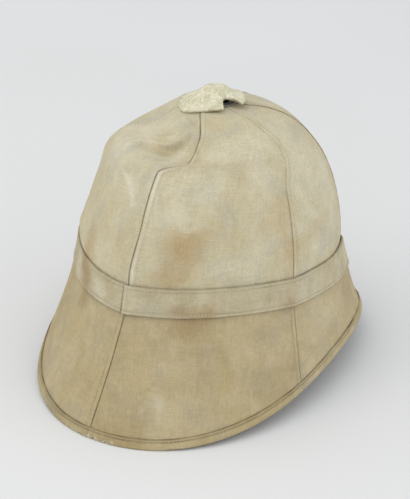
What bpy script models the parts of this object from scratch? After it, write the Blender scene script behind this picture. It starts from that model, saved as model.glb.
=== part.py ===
"""Pith helmet: a six-panel cloth crown and brim, a hat band, a bound rim and a domed ventilator.

Metres, +Z up. The front points along -Y and the wearer's left along +X. The helmet stands on a
floor at z = 0, on the edge of its front and of its rear, with the crown tipped a little forward.
Angles run round the helmet from the front over the wearer's left.
"""
import math
from collections import namedtuple

import bmesh
import bpy
import numpy as np
from mathutils import Matrix, Vector

# Walls and clearances
WALL = 0.003
GAP = 0.0003
SEAM_GAP = 0.0004

# The oval that the band follows, at the band's upper edge
HALF_WIDTH = 0.103
FRONT_REACH = 0.108
REAR_REACH = 0.133
OVAL_POWER = 1.85
SIX_SIDED = 0.27

# The band, and how far its lower edge stands out from its upper edge
BAND_HEIGHT = 0.022
BAND_WALL = 0.0012
BAND_SPREAD = 0.004

# How much further it stands out on the wearer's right, by the brim's highest part
SPLAY = 0.0042
SPLAY_ANGLE = 304
SPLAY_HALF_ANGLE = 23

# The dome above the band
DOME_RISE = 0.1142
DOME_SIDE_POWER = 3.27
DOME_TOP_POWER = 1.58
APEX_BACK = 0.0138
VENT_HOLE = 0.0135

# How the crown stands over the floor
TILT = math.radians(6.5)
BAND_BACK = -0.0033
BAND_LIFT = 0.0757

# The brim's hollow flare, where 0 is a straight slope
FLARE = 0.03

# How far the crown's rise and the brim's climb count on behind the band
FOOT_RISE = 0.1
LAP = 0.12

# The binding folded over the brim's edge
BIND_WIDTH = 0.0085
BIND_WALL = 0.0009

# The ventilator. Its cap has been knocked a little off the middle, and stands higher on one side.
CAP_RADIUS = 0.0272
CAP_WALL = 0.0012
CAP_LIFT = 0.0018
CAP_SIDES = 40
CAP_RINGS = 12
CAP_SHIFT = 0.2
CAP_SHIFT_ANGLE = math.radians(183)
CAP_TILT = 0.005
CAP_TILT_ANGLE = math.radians(324)
SKIRT_RISE = 0.0045
BOSS_RISE = 0.0068
BOSS_SHARE = 0.48
COLLAR_BORE = 0.0119
COLLAR_TUBE = 0.0129
COLLAR_FLANGE = 0.017
COLLAR_PLATE = 0.0009
COLLAR_DROP = 0.006
COLLAR_SIDES = 36
BAR_WIDTH = 0.004
BAR_HEIGHT = 0.0015
STEM_RADIUS = 0.002
STEM_SIDES = 16

# The cap's two notches: where each is cut into the edge and which way it runs in from there
Notch = namedtuple("Notch", "angle reach turn half_width depth")
NOTCHES = (
    Notch(236, 0.0296, 216, 0.0068, 0.0122),
    Notch(74, 0.0256, 74, 0.0050, 0.0075),
)
NOTCH_SIDES = 24
NOTCH_POWER = 3.5

# Mesh fineness
COLUMNS = 10
CROWN_ROWS = 20
BRIM_ROWS = 8

Seam = namedtuple("Seam", "crown_angle rim_angle")
SEAMS = (
    Seam(0, 0),
    Seam(59, 59),
    Seam(118, 118),
    Seam(180, 176),
    Seam(242, 241),
    Seam(301, 300),
    Seam(360, 360),
)
PANELS = ("front_left", "side_left", "rear_left", "rear_right", "side_right", "front_right")

# The rim at stations round one side. A height under zero is flattened on the floor.
RimStation = namedtuple("RimStation", "angle reach height")
RIM = (
    RimStation(0, 0.1474, -0.0005),
    RimStation(30, 0.1404, 0.0106),
    RimStation(60, 0.1275, 0.0254),
    RimStation(90, 0.1215, 0.0261),
    RimStation(120, 0.1332, 0.0168),
    RimStation(150, 0.1610, 0.0038),
    RimStation(180, 0.1773, -0.0010),
)

# Dents in the crown: where they are, how far they spread and how deep they go. A bulge has a
# depth under zero.
Dent = namedtuple("Dent", "angle rise half_angle half_rise depth")
DENTS = (
    Dent(140, 0.79, 48, 0.16, 0.0135),
    Dent(170, 0.68, 21, 0.09, 0.012),
    Dent(86, 0.74, 34, 0.17, 0.0034),
    Dent(118, 0.49, 14, 0.06, -0.0012),
    Dent(116, 0.28, 28, 0.15, 0.0022),
    Dent(122, 0.085, 22, 0.055, -0.0022),
)

# Where the crown's upper part has been pushed round with its dents, in degrees of turn
Sway = namedtuple("Sway", "angle rise half_angle half_rise turn")
SWAYS = (
    Sway(180, 0.20, 30, 0.12, 1.5),
    Sway(180, 0.59, 30, 0.045, 10),
    Sway(242, 0.52, 30, 0.09, 5),
    Sway(242, 0.73, 30, 0.07, -5),
    Sway(301, 0.48, 30, 0.2, -6),
)

# The dents fade out over this last rise, where the ventilator holds the crown
FIRM_TOP = 0.061

Finish = namedtuple("Finish", "red green blue roughness metallic")
FINISHES = {
    "crown_cloth": Finish(0.60, 0.51, 0.34, 0.9, 0.0),
    "brim_cloth": Finish(0.52, 0.43, 0.27, 0.9, 0.0),
    "band_cloth": Finish(0.52, 0.45, 0.29, 0.9, 0.0),
    "binding_cloth": Finish(0.44, 0.36, 0.23, 0.9, 0.0),
    "cap_paint": Finish(0.68, 0.64, 0.45, 0.6, 0.0),
    "collar_metal": Finish(0.32, 0.31, 0.28, 0.5, 0.8),
}

# Moves the helmet so that the middle of its length is over the origin
CENTRE = Vector((0, (RIM[0].reach - RIM[-1].reach) / 2, 0))
CROWN_STAND = Matrix.Translation(CENTRE + Vector((0, BAND_BACK, BAND_LIFT)))
CROWN_PLACE = CROWN_STAND @ Matrix.Rotation(TILT, 4, "X")


def clear_scene():
    """Remove what the scene holds, so that the script can run again."""
    for thing in list(bpy.data.objects):
        bpy.data.objects.remove(thing, do_unlink=True)


def new_collection(name):
    """A collection linked to the scene."""
    collection = bpy.data.collections.new(name)
    bpy.context.scene.collection.children.link(collection)
    return collection


def new_material(name):
    """A Principled material from the finishes table."""
    finish = FINISHES[name]
    material = bpy.data.materials.new(name)
    material.use_nodes = True
    shader = material.node_tree.nodes["Principled BSDF"]
    shader.inputs["Base Color"].default_value = (finish.red, finish.green, finish.blue, 1.0)
    shader.inputs["Roughness"].default_value = finish.roughness
    shader.inputs["Metallic"].default_value = finish.metallic
    return material


def mix(low, high, share):
    """The value a share of the way from low to high."""
    return low + (high - low) * share


def six_sided(angle):
    """One at each seam's ridge and a little less between, where each gore lies flatter."""
    degrees = math.degrees(angle) % 360
    for start, end in zip(SEAMS[:-1], SEAMS[1:]):
        if start.crown_angle <= degrees <= end.crown_angle:
            half = math.radians(end.crown_angle - start.crown_angle) / 2
            turn = math.radians(degrees - start.crown_angle) - half
            return 1 - SIX_SIDED * (1 - math.cos(half) / math.cos(turn))
    return 1.0


def oval(angle):
    """The band's reach from the middle at its upper edge."""
    forward = math.cos(angle)
    sideways = math.sin(angle)
    length = FRONT_REACH if forward > 0 else REAR_REACH
    terms = abs(forward / length) ** OVAL_POWER + abs(sideways / HALF_WIDTH) ** OVAL_POWER
    return terms ** (-1 / OVAL_POWER) * six_sided(angle) / six_sided(math.radians(90))


def round_place(angle, reach, height):
    """A point at an angle, a reach from the middle and a height."""
    return Vector((reach * math.sin(angle), -reach * math.cos(angle), height))


def foot_skin(angle, height, depth):
    """The upright foot of the crown, from the band's lower edge, a depth under the band's face."""
    turn = (math.degrees(angle) - SPLAY_ANGLE + 180) % 360 - 180
    splay = SPLAY * math.exp(-((turn / SPLAY_HALF_ANGLE) ** 2))
    spread = (BAND_SPREAD + splay) * (1 - height / BAND_HEIGHT)
    return CROWN_PLACE @ round_place(angle, oval(angle) + spread - depth, height)


def dome_share(rise):
    """How much of the oval and of the height the dome has at a rise from 0 to 1."""
    turn = rise * math.pi / 2
    reach = max(math.cos(turn), 0.0) ** (2 / DOME_SIDE_POWER)
    height = max(math.sin(turn), 0.0) ** (2 / DOME_TOP_POWER)
    return reach, height


def rise_at_reach(share):
    """The rise where the dome's reach is a share of the oval."""
    return math.acos(min(share, 1.0) ** (DOME_SIDE_POWER / 2)) * 2 / math.pi


def off_middle(angle, row):
    """How far an angle is round from a table row's own angle, in its half angles."""
    return ((math.degrees(angle) - row.angle + 180) % 360 - 180) / row.half_angle


def dented(angle, rise):
    """How deep the crown is pushed in at a place."""
    depth = 0.0
    for dent in DENTS:
        up = (rise - dent.rise) / dent.half_rise
        depth += dent.depth * math.exp(-((off_middle(angle, dent) ** 2 + up ** 2) ** 1.5))
    return depth * min((1 - rise) / FIRM_TOP, 1.0) ** 2


def swayed(angle, rise):
    """The angle at which a line up the crown stands at a rise."""
    for sway in SWAYS:
        up = min(max((rise - sway.rise) / (2 * sway.half_rise) + 0.5, 0.0), 1.0)
        share = up * up * (3 - 2 * up) * math.exp(-(off_middle(angle, sway) ** 2))
        angle += math.radians(sway.turn) * share
    return angle


def dome_point(angle, rise):
    """A point of the dome's outer skin in the crown's own frame, dents and all."""
    share, height = dome_share(rise)
    reach = (oval(angle) - BAND_WALL - GAP) * share
    outside_cap = (reach - CAP_RADIUS) / (HALF_WIDTH - CAP_RADIUS)
    place = round_place(swayed(angle, rise), reach, BAND_HEIGHT + DOME_RISE * height)
    place.y += APEX_BACK * (1 - min(max(outside_cap, 0.0), 1.0)) ** 2
    inward = Vector((0, 0, BAND_HEIGHT)) - place
    return place + inward.normalized() * dented(angle, rise)


def crown_skin(angle, rise):
    """The crown's outer skin. Under a rise of 0 it is the upright foot behind the band."""
    if rise < 0:
        height = BAND_HEIGHT * (1 + rise / (2 * FOOT_RISE))
        return foot_skin(angle, height, BAND_WALL + GAP)
    return CROWN_PLACE @ dome_point(angle, rise)


def smooth_round(column):
    """A function that passes a column of the rim's table smoothly, the same on both sides."""
    angles = np.radians([station.angle for station in RIM])
    waves = np.cos(np.outer(angles, np.arange(len(RIM))))
    weights = np.linalg.solve(waves, [getattr(station, column) for station in RIM])
    return lambda angle: float(sum(w * math.cos(k * angle) for k, w in enumerate(weights)))


rim_reach = smooth_round("reach")
rim_height = smooth_round("height")


def rim_point(angle):
    """The rim's lowest outer edge."""
    return CENTRE + round_place(angle, rim_reach(angle), max(rim_height(angle), 0.0))


def brim_skin(angle, climb):
    """The brim's outer skin, from the rim at 0 to the band at 1, and on up behind the band."""
    if climb > 1:
        height = BAND_HEIGHT / 2 * (climb - 1) / LAP
        return foot_skin(angle, height, BAND_WALL + GAP)
    top = foot_skin(angle, 0.0, BAND_WALL + GAP)
    rim = rim_point(angle)
    drop = 1 - climb
    outward = drop - FLARE * math.sin(2 * math.pi * drop) / (2 * math.pi)
    place = top.lerp(rim, outward)
    place.z = mix(top.z, rim.z, drop)
    return place


ANGLE_STEP = math.radians(0.6)
ALONG_STEP = 0.006


def skin_normal(skin, angle, along):
    """The outward direction of a skin, the same from both sides of a seam."""
    across = skin(angle + ANGLE_STEP, along) - skin(angle - ANGLE_STEP, along)
    up = skin(angle, along + ALONG_STEP) - skin(angle, along - ALONG_STEP)
    return across.cross(up).normalized()


def wall_point(skin, angle, along, depth):
    """A point a depth under a skin."""
    return skin(angle, along) - skin_normal(skin, angle, along) * depth


# Below this climb the brim's slope goes on straight to the rim
STRAIGHT = 0.012


def brim_wall(angle, climb, depth):
    """A point in the brim's wall, a depth under the face of its binding."""
    if climb >= STRAIGHT:
        return wall_point(brim_skin, angle, climb, depth)
    edge = brim_skin(angle, 0)
    run = (brim_skin(angle, STRAIGHT) - edge) / STRAIGHT
    return edge + run * climb - skin_normal(brim_skin, angle, STRAIGHT) * depth


def level_climb(angle, depth, height):
    """How far up the slope a wall line at a depth reaches a height over the rim."""
    normal = skin_normal(brim_skin, angle, STRAIGHT)
    slope = (brim_skin(angle, STRAIGHT) - brim_skin(angle, 0)).z / STRAIGHT
    return (height + depth * normal.z) / slope


def slab(columns, rows):
    """A flat slab of unit size, as a grid with a back face, to be bent into place.

    Its squares are split from their low corner to their high one, so that the edges of two
    neighbours are split alike and don't meet once they are bent.
    """
    bm = bmesh.new()
    bmesh.ops.create_grid(bm, x_segments=columns, y_segments=rows, size=0.5)
    bmesh.ops.translate(bm, vec=(0.5, 0.5, 0.0), verts=bm.verts)
    grown = bmesh.ops.extrude_face_region(bm, geom=bm.faces[:])
    back = [item for item in grown["geom"] if isinstance(item, bmesh.types.BMVert)]
    bmesh.ops.translate(bm, vec=(0.0, 0.0, 1.0), verts=back)
    bmesh.ops.recalc_face_normals(bm, faces=bm.faces)
    for face in bm.faces[:]:
        corners = sorted(face.verts, key=lambda vert: sum(vert.co))
        bmesh.utils.face_split(face, corners[0], corners[-1])
    return bm


def finish_mesh(bm, name, material, collection):
    """Turn a mesh into a named object with outward faces, shaded smooth up to its edges."""
    if bm.calc_volume(signed=True) < 0:
        bmesh.ops.reverse_faces(bm, faces=bm.faces)
    mesh = bpy.data.meshes.new(name)
    bm.to_mesh(mesh)
    bm.free()
    mesh.shade_smooth()
    mesh.set_sharp_from_angle(angle=math.radians(40))
    if material:
        mesh.materials.append(material)
    thing = bpy.data.objects.new(name, mesh)
    collection.objects.link(thing)
    return thing


def bent_slab(name, columns, rows, place, material, collection):
    """A slab whose points at (across, up, deep), each from 0 to 1, go where place says."""
    bm = slab(columns, rows)
    for vert in bm.verts:
        vert.co = place(*vert.co)
    return finish_mesh(bm, name, material, collection)


def crown_panel(index, material, collection):
    """One gore of the crown, from behind the band up to the ventilator's hole."""
    start = math.radians(SEAMS[index].crown_angle)
    end = math.radians(SEAMS[index + 1].crown_angle)
    foot = FOOT_RISE * (1 - 2 * GAP / BAND_HEIGHT)

    def place(across, up, deep):
        angle = mix(start, end, across)
        hole = rise_at_reach(VENT_HOLE / (oval(angle) - BAND_WALL - GAP))
        rise = mix(-foot, hole, up)
        reach = oval(angle) * dome_share(max(rise, 0.0))[0]
        angle += SEAM_GAP / 2 / reach * (1 - 2 * across)
        return wall_point(crown_skin, angle, rise, WALL * deep)

    name = "crown_panel_" + PANELS[index]
    return bent_slab(name, COLUMNS, CROWN_ROWS, place, material, collection)


def brim_panel(index, material, collection):
    """One piece of the brim, from inside the binding up behind the band."""
    top = 1 + LAP * (1 - 2 * GAP / BAND_HEIGHT)
    bend = 1 - 1 / BRIM_ROWS
    start = SEAMS[index]
    end = SEAMS[index + 1]

    def place(across, up, deep):
        slope = min(up / bend, 1.0)
        first = mix(start.rim_angle, start.crown_angle, slope)
        last = mix(end.rim_angle, end.crown_angle, slope)
        angle = math.radians(mix(first, last, across))
        under_binding = BIND_WALL + GAP
        low = level_climb(angle, under_binding + WALL * deep, under_binding)
        climb = mix(low, 1.0, slope) + (top - 1) * max(up - bend, 0.0) / (1 - bend)
        depth = under_binding * max(1 - climb ** 3, 0.0) + WALL * deep
        reach = (brim_skin(angle, climb) - CENTRE).to_2d().length
        angle += SEAM_GAP / 2 / reach * (1 - 2 * across)
        return brim_wall(angle, climb, depth)

    name = "brim_panel_" + PANELS[index]
    return bent_slab(name, COLUMNS, BRIM_ROWS, place, material, collection)


def ring_angles(column):
    """Angles in step with the panels' columns, from the rear seam once round to it again."""
    rear = PANELS.index("rear_right")
    angles = []
    for number in range(len(PANELS)):
        turns, index = divmod(rear + number, len(PANELS))
        start = getattr(SEAMS[index], column) + 360 * turns
        end = getattr(SEAMS[index + 1], column) + 360 * turns
        angles += [mix(start, end, step / COLUMNS) for step in range(COLUMNS)]
    angles.append(angles[0] + 360)
    return [math.radians(angle) for angle in angles]


def hat_band(material, collection):
    """The folded cloth band, with its ends meeting at the rear seam."""
    angles = ring_angles("crown_angle")

    def place(across, up, deep):
        angle = angles[round(across * (len(angles) - 1))]
        angle += SEAM_GAP / 2 / REAR_REACH * (1 - 2 * across)
        return foot_skin(angle, BAND_HEIGHT * up, BAND_WALL * deep)

    return bent_slab("hat_band", len(angles) - 1, 2, place, material, collection)


# The binding's section from its outer hem to its inner one. A climb of None is a lower corner.
FOLD = 2 * BIND_WALL + 2 * GAP + WALL
BindPoint = namedtuple("BindPoint", "climb face_depth lining_depth")
BINDING = (
    BindPoint(BIND_WIDTH, 0.0, BIND_WALL),
    BindPoint(BIND_WIDTH / 2, 0.0, BIND_WALL),
    BindPoint(None, 0.0, BIND_WALL),
    BindPoint(None, FOLD, FOLD - BIND_WALL),
    BindPoint(BIND_WIDTH / 2, FOLD, FOLD - BIND_WALL),
    BindPoint(BIND_WIDTH, FOLD, FOLD - BIND_WALL),
)


def rim_binding(material, collection):
    """The cloth strip folded over the brim's edge, flat underneath where it stands."""
    angles = ring_angles("rim_angle")

    def place(across, up, deep):
        angle = angles[round(across * (len(angles) - 1))]
        angle += SEAM_GAP / 2 / REAR_REACH * (1 - 2 * across)
        point = BINDING[round(up * (len(BINDING) - 1))]
        depth = mix(point.face_depth, point.lining_depth, deep)
        if point.climb is not None:
            length = (brim_skin(angle, 1) - brim_skin(angle, 0)).length
            return brim_wall(angle, point.climb / length, depth)
        height = BIND_WALL * deep
        corner = brim_wall(angle, level_climb(angle, depth, height), depth)
        corner.z = rim_point(angle).z + height
        return corner

    return bent_slab("rim_binding", len(angles) - 1, len(BINDING) - 1, place, material, collection)


def cap_skin(angle, share):
    """The cap's outer skin, which follows the crown at its edge and domes in its middle."""
    shift = CAP_SHIFT * share * math.cos(angle - CAP_SHIFT_ANGLE)
    reach = max(share, 0.001) * CAP_RADIUS * (1 + shift)
    under = dome_point(angle, rise_at_reach(reach / (oval(angle) - BAND_WALL - GAP)))
    boss = math.exp(-((share / BOSS_SHARE) ** 4))
    tilt = CAP_TILT * share * (1 + math.cos(angle - CAP_TILT_ANGLE)) / 2
    lift = CAP_LIFT + SKIRT_RISE * (1 - share ** 2) + BOSS_RISE * boss + tilt
    return under + Vector((0, 0, lift))


def crown_top():
    """The middle of the ventilator's hole, level with the crown's top, in the crown's frame."""
    return Vector((0, APEX_BACK, BAND_HEIGHT + DOME_RISE))


def add_boolean(thing, other, operation):
    """A Boolean modifier that joins or cuts one object with another."""
    modifier = thing.modifiers.new(operation.lower(), "BOOLEAN")
    modifier.operation = operation
    modifier.solver = "EXACT"
    modifier.object = other


def add_cutter(bm, name, collection):
    """A helper object that is not part of the helmet."""
    cutter = finish_mesh(bm, name, None, collection)
    cutter.matrix_world = CROWN_PLACE @ Matrix.Translation(crown_top())
    cutter.hide_render = True
    cutter.display_type = "WIRE"
    return cutter


def ventilator_cap(material, collection, cutters):
    """The domed cap, cut by two notches that let the air out."""
    bm = bmesh.new()
    bmesh.ops.create_uvsphere(bm, u_segments=CAP_SIDES, v_segments=CAP_RINGS, radius=1.0)
    for vert in bm.verts:
        angle = math.atan2(vert.co.x, -vert.co.y)
        share = vert.co.to_2d().length
        below = 1.0 if vert.co.z < -0.01 else 0.5 if vert.co.z < 0.01 else 0.0
        vert.co = CROWN_PLACE @ (cap_skin(angle, share) - Vector((0, 0, CAP_WALL * below)))
    cap = finish_mesh(bm, "ventilator_cap", material, collection)
    for number, row in enumerate(NOTCHES):
        notch = bmesh.new()
        bmesh.ops.create_cone(notch, cap_ends=True, segments=NOTCH_SIDES, radius1=1, radius2=1,
                              depth=COLLAR_FLANGE * 2)
        for vert in notch.verts:
            for axis, size in enumerate((row.half_width, row.depth)):
                side = abs(vert.co[axis]) ** (2 / NOTCH_POWER)
                vert.co[axis] = math.copysign(side * size, vert.co[axis])
        edge = Matrix.Translation(round_place(math.radians(row.angle), row.reach, 0))
        bmesh.ops.transform(notch, verts=notch.verts,
                            matrix=edge @ Matrix.Rotation(math.radians(row.turn), 4, "Z"))
        add_boolean(cap, add_cutter(notch, "cap_notch_%d" % (number + 1), cutters), "DIFFERENCE")
    return cap


def ventilator_collar(material, collection, cutters):
    """The turned metal ring in the crown's hole, with a bar across its foot for the stem."""
    plate_top = COLLAR_PLATE + GAP
    profile = (
        (COLLAR_BORE, plate_top),
        (COLLAR_FLANGE, plate_top),
        (COLLAR_FLANGE, GAP),
        (COLLAR_TUBE, GAP),
        (COLLAR_TUBE, -COLLAR_DROP),
        (COLLAR_BORE, -COLLAR_DROP),
    )
    bm = bmesh.new()
    points = [bm.verts.new((reach, 0, height)) for reach, height in profile]
    for first, second in zip(points, points[1:] + points[:1]):
        bm.edges.new((first, second))
    collar = finish_mesh(bm, "ventilator_collar", material, collection)
    collar.matrix_world = CROWN_PLACE @ Matrix.Translation(crown_top())
    screw = collar.modifiers.new("turned", "SCREW")
    screw.steps = COLLAR_SIDES
    screw.render_steps = COLLAR_SIDES
    screw.use_merge_vertices = True
    screw.merge_threshold = 0.00001
    bar = bmesh.new()
    middle = (COLLAR_BORE + COLLAR_TUBE) / 2
    shape = Matrix.Diagonal((2 * middle, BAR_WIDTH, BAR_HEIGHT, 1))
    move = Matrix.Translation((0, 0, BAR_HEIGHT - COLLAR_DROP))
    bmesh.ops.create_cube(bar, size=1, matrix=move @ shape)
    add_boolean(collar, add_cutter(bar, "collar_bar", cutters), "UNION")
    return collar


def ventilator_stem(material, collection):
    """The post that carries the cap on the collar's bar."""
    low = crown_top() + Vector((0, 0, 1.5 * BAR_HEIGHT - COLLAR_DROP + GAP))
    low_side = cap_skin(CAP_TILT_ANGLE + math.pi, STEM_RADIUS / CAP_RADIUS)
    high = low_side - Vector((0, 0, CAP_WALL + GAP))
    bm = bmesh.new()
    move = CROWN_PLACE @ Matrix.Translation((low.x, low.y, (low.z + high.z) / 2))
    bmesh.ops.create_cone(bm, cap_ends=True, segments=STEM_SIDES, radius1=STEM_RADIUS,
                          radius2=STEM_RADIUS, depth=high.z - low.z, matrix=move)
    return finish_mesh(bm, "ventilator_stem", material, collection)


def build():
    """Build every piece of the helmet."""
    clear_scene()
    helmet = new_collection("pith_helmet")
    cutters = new_collection("cutters")
    materials = {name: new_material(name) for name in FINISHES}
    for index in range(len(PANELS)):
        crown_panel(index, materials["crown_cloth"], helmet)
        brim_panel(index, materials["brim_cloth"], helmet)
    hat_band(materials["band_cloth"], helmet)
    rim_binding(materials["binding_cloth"], helmet)
    ventilator_collar(materials["collar_metal"], helmet, cutters)
    ventilator_stem(materials["collar_metal"], helmet)
    ventilator_cap(materials["cap_paint"], helmet, cutters)


build()
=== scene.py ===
"""The looks of the pith helmet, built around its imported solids.

Metres, +Z up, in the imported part's own frame: the front along -Y and the wearer's left along +X.
Angles run round the helmet from the front over the wearer's left. The tables give them in degrees.
"""
import math
from collections import namedtuple

import bpy
import numpy as np
from mathutils import Matrix, Vector


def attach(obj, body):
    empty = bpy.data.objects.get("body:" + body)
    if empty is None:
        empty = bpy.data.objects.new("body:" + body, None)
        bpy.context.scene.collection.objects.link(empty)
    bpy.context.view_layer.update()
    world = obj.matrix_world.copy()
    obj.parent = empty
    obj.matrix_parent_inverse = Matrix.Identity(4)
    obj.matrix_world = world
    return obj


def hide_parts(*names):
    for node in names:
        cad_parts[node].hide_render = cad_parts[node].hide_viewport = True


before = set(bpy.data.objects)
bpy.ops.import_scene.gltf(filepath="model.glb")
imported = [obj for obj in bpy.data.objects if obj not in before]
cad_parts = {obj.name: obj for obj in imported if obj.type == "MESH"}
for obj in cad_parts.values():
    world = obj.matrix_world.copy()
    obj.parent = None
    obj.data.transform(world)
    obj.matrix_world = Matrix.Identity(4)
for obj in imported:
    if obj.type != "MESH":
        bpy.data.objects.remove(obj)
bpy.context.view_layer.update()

# Sizes and surfaces that the part's own source gives
WALL = 0.003
GAP = 0.0003
HALF_WIDTH = 0.103
FRONT_REACH = 0.108
REAR_REACH = 0.133
OVAL_POWER = 1.85
SIX_SIDED = 0.27
BAND_HEIGHT = 0.022
BAND_WALL = 0.0012
BAND_SPREAD = 0.004
SPLAY = 0.0042
SPLAY_ANGLE = 304
SPLAY_HALF_ANGLE = 23
DOME_RISE = 0.1142
DOME_SIDE_POWER = 3.27
DOME_TOP_POWER = 1.58
APEX_BACK = 0.0138
VENT_HOLE = 0.0135
TILT = math.radians(6.5)
BAND_BACK = -0.0033
BAND_LIFT = 0.0757
FLARE = 0.03
FOOT_RISE = 0.1
LAP = 0.12
BIND_WIDTH = 0.0085
BIND_WALL = 0.0009
CAP_RADIUS = 0.0272
CAP_WALL = 0.0012
CAP_LIFT = 0.0018
CAP_SHIFT = 0.2
CAP_SHIFT_ANGLE = 183
CAP_TILT = 0.005
CAP_TILT_ANGLE = 324
SKIRT_RISE = 0.0045
BOSS_RISE = 0.0068
BOSS_SHARE = 0.48
NOTCH_POWER = 3.5
STRAIGHT = 0.012
FIRM_TOP = 0.061
FOLD = 2 * BIND_WALL + 2 * GAP + WALL

PANELS = ("front_left", "side_left", "rear_left", "rear_right", "side_right", "front_right")
CROWN_SEAMS = (0, 59, 118, 180, 242, 301, 360)
RIM_SEAMS = (0, 59, 118, 176, 241, 300, 360)
RIM_ANGLES = (0, 30, 60, 90, 120, 150, 180)
RIM_REACHES = (0.1474, 0.1404, 0.1275, 0.1215, 0.1332, 0.1610, 0.1773)
RIM_HEIGHTS = (-0.0005, 0.0106, 0.0254, 0.0261, 0.0168, 0.0038, -0.0010)

# The crown's hollows: each one's angle, rise, half angle, half rise and depth. A negative depth is a
# bulge. The last is softer than the solids' one.
DENTS = (
    (140, 0.79, 48, 0.16, 0.0135),
    (170, 0.68, 21, 0.09, 0.012),
    (86, 0.74, 34, 0.17, 0.0034),
    (118, 0.49, 14, 0.06, -0.0012),
    (116, 0.28, 28, 0.15, 0.0022),
    (122, 0.03, 24, 0.09, -0.0011),
)
# How lines up the crown turn aside: an angle, a rise, a half angle, a half rise and the turn
SWAYS = (
    (180, 0.20, 30, 0.12, 1.5),
    (180, 0.59, 30, 0.045, 10),
    (242, 0.52, 30, 0.09, 5),
    (242, 0.73, 30, 0.07, -5),
    (301, 0.48, 30, 0.2, -6),
)

# The cap's notches: the angle, how far out, the turn, the half width and the depth
NOTCHES = (
    (236, 0.0296, 216, 0.0068, 0.0122),
    (74, 0.0256, 74, 0.0050, 0.0075),
)

CENTRE = np.array((0.0, (RIM_REACHES[0] - RIM_REACHES[-1]) / 2, 0.0))
CROWN_TURN = np.array(Matrix.Rotation(TILT, 3, "X"))
CROWN_STAND = CENTRE + (0.0, BAND_BACK, BAND_LIFT)


def stand(points):
    """Points of the crown's own frame, tipped and lifted to where the crown stands."""
    return points @ CROWN_TURN.T + CROWN_STAND


def off_middle(angle, middle, half_angle):
    """How many half angles each angle is away from a middle. The last two are in degrees."""
    return ((np.degrees(angle) - middle + 180) % 360 - 180) / half_angle


def smooth(share):
    """A soft step from 0 to 1."""
    share = np.clip(share, 0, 1)
    return share * share * (3 - 2 * share)


def bell(offset, width=1):
    """One at an offset of 0, less and less on both sides."""
    return np.exp(-((offset / width) ** 2))


def fade(distance, length):
    """One at a distance of 0, less and less farther on."""
    return np.exp(-distance / length)


def run_length(path):
    """How far along a path each of its points is, or each row of points along several paths."""
    steps = np.linalg.norm(np.diff(path, axis=0), axis=-1)
    return np.concatenate((np.zeros_like(steps[:1]), np.cumsum(steps, axis=0)))


def unit(vectors):
    """Vectors of length 1 in the same directions."""
    return vectors / np.linalg.norm(vectors, axis=-1, keepdims=True)


def rounded(distance, radius):
    """How far a rounded edge drops at a distance from it."""
    return radius * (1 - np.sqrt(1 - np.clip(1 - distance / radius, 0, 1) ** 2))


def six_sided(angle):
    """One at each seam's ridge and a little less between."""
    degrees = np.degrees(angle) % 360
    value = np.ones_like(degrees)
    for start, end in zip(CROWN_SEAMS[:-1], CROWN_SEAMS[1:]):
        here = (degrees >= start) & (degrees <= end)
        half = math.radians(end - start) / 2
        turn = np.where(here, np.radians(degrees - start) - half, 0)
        value = np.where(here, 1 - SIX_SIDED * (1 - math.cos(half) / np.cos(turn)), value)
    return value


def oval(angle):
    """The band's reach from the middle at its upper edge."""
    forward = np.cos(angle)
    length = np.where(forward > 0, FRONT_REACH, REAR_REACH)
    terms = np.abs(forward / length) ** OVAL_POWER
    terms = terms + np.abs(np.sin(angle) / HALF_WIDTH) ** OVAL_POWER
    side = six_sided(np.array(math.pi / 2))
    return terms ** (-1 / OVAL_POWER) * six_sided(angle) / side


def round_place(angle, reach, height):
    """Points at angles, reaches from the middle and heights."""
    angle, reach, height = np.broadcast_arrays(angle, reach, height)
    return np.stack((reach * np.sin(angle), -reach * np.cos(angle), height), -1)


def foot_skin(angle, height, depth):
    """The crown's upright foot, from the band's lower edge, a depth under the band's face."""
    splay = SPLAY * bell(off_middle(angle, SPLAY_ANGLE, SPLAY_HALF_ANGLE))
    spread = (BAND_SPREAD + splay) * (1 - height / BAND_HEIGHT)
    return stand(round_place(angle, oval(angle) + spread - depth, height))


def dome_share(rise):
    """How much of the oval and of the height the dome has at a rise from 0 to 1."""
    turn = np.clip(rise, 0, 1) * math.pi / 2
    reach = np.maximum(np.cos(turn), 0) ** (2 / DOME_SIDE_POWER)
    height = np.maximum(np.sin(turn), 0) ** (2 / DOME_TOP_POWER)
    return reach, height


def rise_at_reach(share):
    """The rise where the dome's reach is a share of the oval."""
    return np.arccos(np.clip(share, 0, 1) ** (DOME_SIDE_POWER / 2)) * 2 / math.pi


def dented(angle, rise):
    """How deep the crown is pushed in."""
    depth = 0.0
    for middle, middle_rise, half_angle, half_rise, deepest in DENTS:
        away = np.hypot(off_middle(angle, middle, half_angle), (rise - middle_rise) / half_rise)
        depth = depth + deepest * np.exp(-(away ** 3))
    return depth * np.clip((1 - rise) / FIRM_TOP, 0, 1) ** 2


def swayed(angle, rise):
    """The angles at which lines up the crown stand."""
    turned = angle
    for middle, middle_rise, half_angle, half_rise, turn in SWAYS:
        share = smooth((rise - middle_rise) / (2 * half_rise) + 0.5)
        share = share * bell(off_middle(turned, middle, half_angle))
        turned = turned + math.radians(turn) * share
    return turned


def dome_point(angle, rise):
    """Points of the dome's outer skin in the crown's own frame."""
    share, height = dome_share(rise)
    reach = (oval(angle) - BAND_WALL - GAP) * share
    outside_cap = (reach - CAP_RADIUS) / (HALF_WIDTH - CAP_RADIUS)
    place = round_place(swayed(angle, rise), reach, BAND_HEIGHT + DOME_RISE * height)
    place[..., 1] += APEX_BACK * (1 - np.clip(outside_cap, 0, 1)) ** 2
    return place + unit((0, 0, BAND_HEIGHT) - place) * dented(angle, rise)[..., None]


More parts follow.
